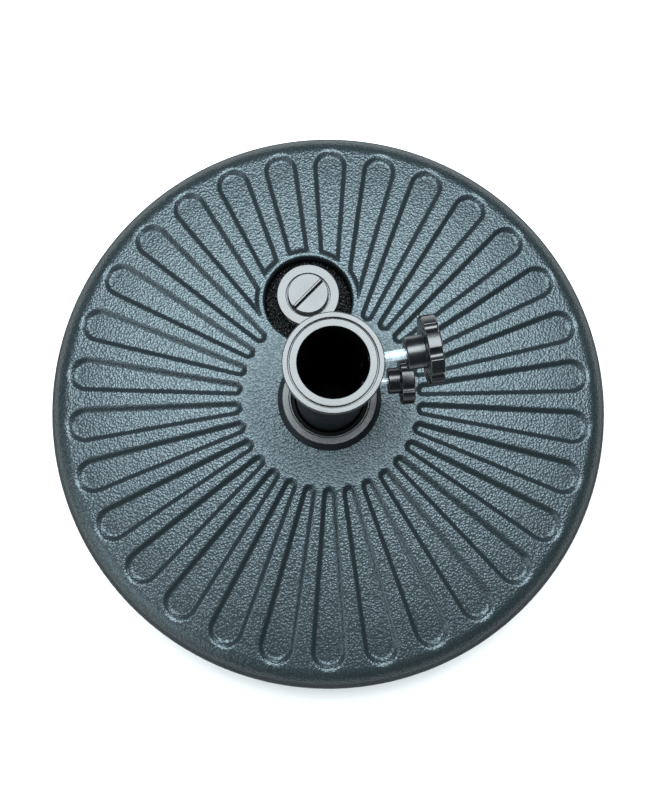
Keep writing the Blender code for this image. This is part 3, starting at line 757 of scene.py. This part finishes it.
def tank_mesh():
    vertices, faces = tank_grid()
    kept, edge = clip_to_pocket(vertices, faces)
    spokes = [math.atan2(y - FILLER_CENTRE.y, x - FILLER_CENTRE.x) for x, y, z in edge]
    order = sorted(range(len(edge)), key=lambda index: spokes[index])
    points = vertices.tolist() + edge
    upper = [len(vertices) + index for index in order]
    for radius, height in pocket_rings():
        lower = list(range(len(points), len(points) + len(order)))
        for index in order:
            x = FILLER_CENTRE.x + radius * math.cos(spokes[index])
            y = FILLER_CENTRE.y + radius * math.sin(spokes[index])
            points.append((x, y, height))
        for i in range(len(order)):
            j = (i + 1) % len(order)
            kept.append((upper[i], upper[j], lower[j], lower[i]))
        upper = lower
    kept.append(upper)
    mesh = bpy.data.meshes.new("tank_skin")
    mesh.from_pydata(points, [], kept)
    mesh.shade_smooth()
    mesh.set_sharp_from_angle(angle=math.radians(55))
    return mesh


def build_tank():
    tank = add_piece("tank_skin", tank_mesh(), GRAINED, "base", ["tank_shell"])
    tank.data.materials.append(POCKET_PLASTIC)
    lowest, highest = POCKET_FLOOR - SLACK, POCKET_FLOOR + POCKET_GRAIN_HEIGHT
    for face in tank.data.polygons:
        reach = (face.center - FILLER_CENTRE).to_2d().length
        if reach < POCKET_RADIUS + SLACK and lowest < face.center.z < highest:
            face.material_index = 1


# ---------------------------------------------------------------- filler

def build_filler():
    seat = FILLER_TOP - SEAL_SEAT_DEPTH
    flange_bottom = FILLER_TOP - NECK_FLANGE_THICKNESS
    collar_top = POCKET_FLOOR + NECK_COLLAR_RISE
    collar_bottom = POCKET_FLOOR + FIT
    floor_bottom = POCKET_FLOOR - TANK_WALL - FIT
    profile = [
        (NECK_BORE, seat, 0.0003),
        (SEAL_SEAT_RADIUS, seat, 0.0002),
        (SEAL_SEAT_RADIUS, FILLER_TOP, 0.0003),
        (NECK_FLANGE_RADIUS, FILLER_TOP, 0.0007),
        (NECK_FLANGE_RADIUS, flange_bottom, 0.0005),
        (NECK_RADIUS, flange_bottom, 0.0005),
        (NECK_RADIUS, collar_top, 0.0005),
        (NECK_COLLAR_RADIUS, collar_top, 0.0005),
        (NECK_COLLAR_RADIUS, collar_bottom, 0.0),
        (NECK_RADIUS, collar_bottom, 0.0),
        (NECK_RADIUS, floor_bottom, 0.0),
        (NECK_COLLAR_RADIUS, floor_bottom, 0.0),
        (NECK_COLLAR_RADIUS, FILLER_LOW.z, 0.0005),
        (NECK_BORE, FILLER_LOW.z, 0.0005),
    ]
    mesh = lathe("neck_insert", profile, 96)
    neck = add_piece("neck_insert", mesh, RING_PLASTIC, "base", ["filler_neck"])
    neck.matrix_world = neck.matrix_world @ Matrix.Translation(FILLER_CENTRE)
    crisp(neck)


def build_plug():
    head_bottom = FILLER_TOP - SEAL_SEAT_DEPTH + SEAL_THICKNESS
    profile = [
        (0.0, PLUG_TOP, 0.0),
        (PLUG_RADIUS, PLUG_TOP, 0.0006),
        (PLUG_RADIUS, head_bottom, 0.0003),
        (PLUG_SHANK_RADIUS, head_bottom, 0.0),
        (PLUG_SHANK_RADIUS, PLUG_LOW.z, 0.0006),
        (PLUG_HOLLOW_RADIUS, PLUG_LOW.z, 0.0004),
        (PLUG_HOLLOW_RADIUS, head_bottom, 0.001),
        (0.0, head_bottom, 0.0),
    ]
    mesh = lathe("screw_plug", profile, 96)
    plug = add_piece("screw_plug", mesh, PLUG_PLASTIC)
    beyond = 2 * PLUG_RADIUS
    notch = PLUG_RADIUS - SLOT_END
    cutters = []
    for name, along, across, depth in (
        ("groove", (-beyond, beyond), (GROOVE_FROM, GROOVE_TO), GROOVE_DEPTH),
        ("line", (-notch, notch), (LINE_FROM, LINE_TO), LINE_DEPTH),
        ("first_notch", (-beyond, -notch), (-GROOVE_TO, LINE_TO), NOTCH_DEPTH),
        ("last_notch", (notch, beyond), (-GROOVE_TO, LINE_TO), NOTCH_DEPTH),
    ):
        low = (along[0], across[0], PLUG_TOP - depth)
        high = (along[1], across[1], PLUG_TOP + SLOT_END)
        # The cut faces take the painted shade material, so the slot and notches are painted dark
        cutter = add_piece(name, box_mesh(name, low, high), PAINTED_SHADE_PLASTIC)
        cutter.matrix_world = Matrix.Rotation(SLOT_AZIMUTH, 4, "Z")
        cutters.append(cutter)
    combine(plug, "DIFFERENCE", *cutters)
    plug.location = FILLER_CENTRE
    bpy.context.view_layer.update()
    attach(plug, "plug")
    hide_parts("fill_plug")
    crisp(plug)


# ---------------------------------------------------------------- neck ring, tube and sleeve

def build_neck_ring():
    seat = HUB_HEIGHT + FIT
    lip = RING_TOP - RING_LIP_DEPTH
    step = RING_TOP - RING_STEP_DEPTH
    profile = [
        (RING_STEP_RADIUS, lip, 0.0004),
        (RING_LIP_RADIUS, lip, 0.0003),
        (RING_TOP_INNER, RING_TOP, 0.0004),
        (RING_TOP_OUTER, RING_TOP, 0.0008),
        (RING_RADIUS - RING_FOOT_INSET, seat + RING_FOOT_HEIGHT, 0.0006),
        (RING_RADIUS, seat, 0.0),
        (RING_SOCKET_RADIUS, seat, 0.0),
        (RING_SOCKET_RADIUS, RING_BOTTOM, 0.0004),
        (RING_BORE, RING_BOTTOM, 0.0004),
        (RING_BORE, step, 0.0005),
        (RING_STEP_RADIUS, step, 0.0003),
    ]
    mesh = lathe("neck_collar", profile)
    ring = add_piece("neck_collar", mesh, NECK_PLASTIC, "base", ["neck_ring"])
    # Painted shade inside the ring's bore
    paint_bore_shade(ring, RING_STEP_RADIUS + SLACK, RING_TOP - RING_SHADE_DEPTH)
    crisp(ring)


def boss_pieces(clamp):
    """The nut boss on the tube, and the cutters for its nut, its pad and its stud."""
    name = clamp["name"]
    half_nut = clamp["across_flats"] / 2 + FIT
    half = half_nut + BOSS_SIDE_WALL
    place = along_screw(clamp)
    boss_box = box_mesh(
        name + "_boss",
        (-clamp["boss_above"], -half, TUBE_BORE + 0.001),
        (clamp["boss_below"], half, BOSS_FRONT),
        bevel=0.0008,
    )
    boss = add_piece(name + "_boss", boss_box, TUBE_PLASTIC)
    trap_low = (-clamp["across_flats"] / math.sqrt(3) - FIT, -half_nut, NUT_START - 2 * FIT)
    trap_high = (2 * clamp["boss_below"], half_nut, NUT_START + clamp["nut_thickness"])
    trap_box = box_mesh(name + "_trap", trap_low, trap_high)
    trap = add_piece(name + "_trap", trap_box, TUBE_PLASTIC)
    holes = []
    for part, radius, start, end in (
        ("_pad_hole", clamp["pad_radius"] + 0.0004, 0.020, PAD_HOLE_END),
        ("_stud_hole", clamp["thread_radius"] + 0.0004, 0.020, 0.060),
    ):
        profile = [(0.0, end, 0.0), (radius, end, 0.0), (radius, start, 0.0), (0.0, start, 0.0)]
        holes.append(add_piece(name + part, lathe(name + part, profile, 48), TUBE_PLASTIC))
    for obj in (boss, trap, *holes):
        obj.matrix_world = place
    return boss, (trap, *holes)


def build_tube():
    flange_bottom = TUBE_TOP - TUBE_FLANGE_THICKNESS
    step_bottom = flange_bottom - TUBE_STEP_HEIGHT
    seat = TUBE_TOP - TUBE_SEAT_DEPTH
    profile = [
        (TUBE_BORE, seat, 0.0003),
        (TUBE_SEAT_RADIUS, seat, 0.0002),
        (TUBE_SEAT_RADIUS, TUBE_TOP, 0.0003),
        (TUBE_FLANGE_RADIUS, TUBE_TOP, 0.0008),
        (TUBE_FLANGE_RADIUS, flange_bottom, 0.0006),
        (TUBE_STEP_RADIUS, flange_bottom, 0.0002),
        (TUBE_STEP_RADIUS, step_bottom, 0.0006),
        (TUBE_RADIUS, step_bottom, 0.0005),
        (TUBE_RADIUS, TUBE_BOTTOM, 0.0004),
        (TUBE_BORE, TUBE_BOTTOM, 0.0004),
    ]
    tube = add_piece("stand_tube", lathe("stand_tube", profile), TUBE_PLASTIC)
    for clamp in (UPPER, LOWER):
        boss, holes = boss_pieces(clamp)
        combine(tube, "UNION", boss)
        combine(tube, "DIFFERENCE", *holes)
    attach(tube, "base")
    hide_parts("pole_tube")
    # Painted shade inside the tube's bore
    paint_bore_shade(tube, TUBE_BORE + SLACK, seat)
    dress_barrel(tube, flange_bottom)
    crisp(tube)


def build_sleeve():
    seat = TUBE_TOP - SLEEVE_FLANGE_THICKNESS
    profile = [
        (SLEEVE_BORE, TUBE_TOP, 0.0005),
        (SLEEVE_FLANGE_RADIUS, TUBE_TOP, 0.0006),
        (SLEEVE_FLANGE_RADIUS, seat, 0.0003),
        (SLEEVE_RADIUS, seat, 0.0003),
        (SLEEVE_RADIUS, SLEEVE_BOTTOM, 0.0004),
        (SLEEVE_BORE, SLEEVE_BOTTOM, 0.0004),
    ]
    sleeve = add_piece("reducer_sleeve", lathe("reducer_sleeve", profile), TUBE_PLASTIC)
    slot_low = (0.0, -SLEEVE_SLOT_HALF_WIDTH, SLEEVE_BOTTOM - TUBE_RADIUS)
    slot_high = (2 * TUBE_RADIUS, SLEEVE_SLOT_HALF_WIDTH, SLEEVE_SLOT_TOP)
    slot_box = box_mesh("sleeve_slot", slot_low, slot_high)
    slot = add_piece("sleeve_slot", slot_box, TUBE_PLASTIC)
    slot.matrix_world = Matrix.Rotation((UPPER["azimuth"] + LOWER["azimuth"]) / 2, 4, "Z")
    combine(sleeve, "DIFFERENCE", slot)
    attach(sleeve, "sleeve")
    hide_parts("pole_sleeve")
    # Painted shade inside the sleeve's bore
    paint_bore_shade(sleeve, SLEEVE_BORE + SLACK, TUBE_TOP - SLEEVE_SHADE_DEPTH)
    crisp(sleeve)


# ---------------------------------------------------------------- clamp screws

def star_radius(clamp, angle):
    """The knob head's outline: lobes on one circle, with a round scallop between each two."""
    head = clamp["head_radius"]
    scallop = clamp["scallop_radius"]
    centre = head + SCALLOP_SET_OUT * scallop
    pitch = math.tau / clamp["lobes"]
    offset = (angle - clamp["first_scallop"] + pitch / 2) % pitch - pitch / 2
    reach = scallop**2 - (centre * math.sin(offset)) ** 2
    if reach <= 0.0:
        return head
    inner = centre * math.cos(offset) - math.sqrt(reach)
    blend = max(LOBE_SOFTNESS - abs(head - inner), 0.0) / LOBE_SOFTNESS
    return min(head, inner) - blend**2 * LOBE_SOFTNESS / 4


def rounded_edge(height, turn_from):
    """A quarter circle at the head's outline, as (no radius, inset, height) loops."""
    edge = []
    for step in range(FILLET_STEPS + 1):
        angle = turn_from + math.pi / 2 * step / FILLET_STEPS
        edge.append((None, HEAD_BEVEL - HEAD_BEVEL * math.cos(angle), height + HEAD_BEVEL * math.sin(angle)))
    return edge


def knob_loops(clamp):
    """A knob from its hole to its dished front. A loop has a radius, or an inset from the star's outline."""
    start = clamp["hub_start"]
    hub = clamp["hub_radius"]
    hole = clamp["thread_radius"] + FIT
    back = start + clamp["hub_length"]
    front = back + clamp["head_thickness"]
    dish = clamp["head_radius"] * DISH_SHARE
    loops = [(hole, None, start + HOLE_DEPTH), (hole, None, start)]
    loops += [(hub - HUB_BEVEL, None, start), (hub - KNEE, None, start + KNEE)]
    loops += [(hub, None, start + HUB_BEVEL), (hub, None, back - HUB_FILLET)]
    loops += [(hub + KNEE, None, back - KNEE), (hub + HUB_FILLET, None, back)]
    loops += rounded_edge(back + HEAD_BEVEL, -math.pi / 2)
    loops += rounded_edge(front - HEAD_BEVEL, 0.0)
    loops += [(dish + DISH_LIP, None, front), (dish, None, front - KNEE)]
    loops += [(dish - DISH_SLOPE, None, front - DISH_WALL), (dish / 2, None, front - DISH_DEPTH)]
    return loops


def build_knob(clamp):
    name = clamp["name"] + "_star_knob"
    steps = clamp["lobes"] * LOBE_STEPS
    angles = [math.tau * i / steps for i in range(steps)]
    star = [star_radius(clamp, a) for a in angles]
    form = bmesh.new()
    rings = []
    for radius, inset, height in knob_loops(clamp):
        ring = []
        for angle, edge in zip(angles, star):
            reach = radius if inset is None else edge - inset
            ring.append(form.verts.new((reach * math.cos(angle), reach * math.sin(angle), height)))
        rings.append(ring)
    for lower, upper in zip(rings, rings[1:]):
        for i in range(steps):
            j = (i + 1) % steps
            form.faces.new((lower[i], lower[j], upper[j], upper[i]))
    form.faces.new(rings[-1])
    form.faces.new(reversed(rings[0]))
    bmesh.ops.recalc_face_normals(form, faces=form.faces)
    knob = add_piece(name, finished(name, form), KNOB_PLASTIC)
    knob.matrix_world = along_screw(clamp)
    bpy.context.view_layer.update()
    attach(knob, clamp["name"] + "_screw")
    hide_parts(clamp["name"] + "_knob")
    crisp(knob, 50)


def build_stud(clamp):
    """A stud with a real helical thread."""
    name = clamp["name"] + "_threaded_stud"
    pitch = clamp["pitch"]
    depth = THREAD_DEPTH * pitch
    root = clamp["thread_radius"] - depth
    start, end = clamp["stud_start"], clamp["hub_start"] + STUD_INSIDE_KNOB
    form = bmesh.new()
    rows = []
    turn_count = math.ceil((end - start) / pitch) + 1
    for turn in range(-1, turn_count):
        for share, rise in THREAD_PROFILE:
            row = []
            for i in range(STUD_STEPS + 1):
                height = start + pitch * (turn + share + i / STUD_STEPS)
                taper = max(0.0, min(1.0, (height - start) / (2 * pitch)))
                reach = root + depth * min(rise, taper)
                height = min(max(height, start), end)
                angle = math.tau * i / STUD_STEPS
                row.append(form.verts.new((reach * math.cos(angle), reach * math.sin(angle), height)))
            rows.append(row)
    for lower, upper in zip(rows, rows[1:]):
        for i in range(STUD_STEPS):
            form.faces.new((lower[i], lower[i + 1], upper[i + 1], upper[i]))
    bmesh.ops.remove_doubles(form, verts=form.verts, dist=0.000001)
    for height in (start, end):
        borders = [edge for edge in form.edges if edge.is_boundary]
        rim = [edge for edge in borders if abs(edge.verts[0].co.z - height) < 0.00001]
        if rim:
            bmesh.ops.holes_fill(form, edges=rim)
    bmesh.ops.recalc_face_normals(form, faces=form.faces)
    stud = add_piece(name, finished(name, form), ZINC)
    stud.matrix_world = along_screw(clamp)
    bpy.context.view_layer.update()
    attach(stud, clamp["name"] + "_screw")
    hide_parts(clamp["name"] + "_stud")
    crisp(stud, 50)


def dress_nodes():
    """Better materials for the CAD nodes that stay."""
    for node, material in (
        ("plug_seal", RUBBER),
        # The tube's foot, deep in the tank, gets the painted shade material
        ("tube_foot", PAINTED_SHADE_PLASTIC),
        ("upper_pad", KNOB_PLASTIC),
        ("lower_pad", KNOB_PLASTIC),
        ("upper_nut", ZINC),
        ("lower_nut", ZINC),
        ("fixing_bolt", ZINC),
        ("fixing_washer", ZINC),
        ("fixing_nut", ZINC),
    ):
        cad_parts[node].material_slots[0].material = material


# ---------------------------------------------------------------- stage

def add_light(name, size, power, colour, place):
    """A rectangular light. It is returned so that it can be aimed, and it points down until then."""
    light = bpy.data.lights.new(name, "AREA")
    light.shape = "RECTANGLE"
    light.size, light.size_y = size
    light.energy = power
    light.color = colour
    obj = bpy.data.objects.new(name, light)
    obj.location = place
    bpy.context.scene.collection.objects.link(obj)
    return obj


def build_stage():
    bpy.ops.mesh.primitive_plane_add(size=FLOOR_SIZE, location=(0.0, 0.0, -0.0005))
    floor = bpy.context.object
    floor.name = "floor"
    floor.data.materials.append(new_material("pale_floor", (0.86, 0.84, 0.83), 0.9))

    add_light("softbox", SOFTBOX_SIZE, SOFTBOX_POWER, SOFTBOX_COLOUR, SOFTBOX_PLACE)
    side = add_light("side_fill", SIDE_FILL_SIZE, SIDE_FILL_POWER, SIDE_FILL_COLOUR, SIDE_FILL_PLACE)
    side.rotation_euler = (-side.location).to_track_quat("-Z", "Y").to_euler()

    world = bpy.data.worlds.new("studio")
    world.use_nodes = True
    background = world.node_tree.nodes["Background"]
    background.inputs["Color"].default_value = (0.95, 0.98, 1.0, 1.0)
    background.inputs["Strength"].default_value = 0.11
    bpy.context.scene.world = world
    bpy.context.scene.view_settings.view_transform = "Standard"


def build_camera():
    camera = bpy.data.cameras.new("camera")
    camera.sensor_width = 36.0
    camera.lens = 41.10
    camera.shift_x = 0.0023
    camera.shift_y = -0.028
    obj = bpy.data.objects.new("camera", camera)
    obj.matrix_world = Matrix.Translation(CAMERA_PLACE)
    for axis, turn in CAMERA_TILT.items():
        obj.matrix_world = obj.matrix_world @ Matrix.Rotation(turn, 4, axis)
    bpy.context.scene.collection.objects.link(obj)
    bpy.context.scene.camera = obj


build_tank()
build_filler()
build_plug()
build_neck_ring()
build_tube()
build_sleeve()
for clamp in (UPPER, LOWER):
    build_knob(clamp)
    build_stud(clamp)
dress_nodes()
build_stage()
build_camera()
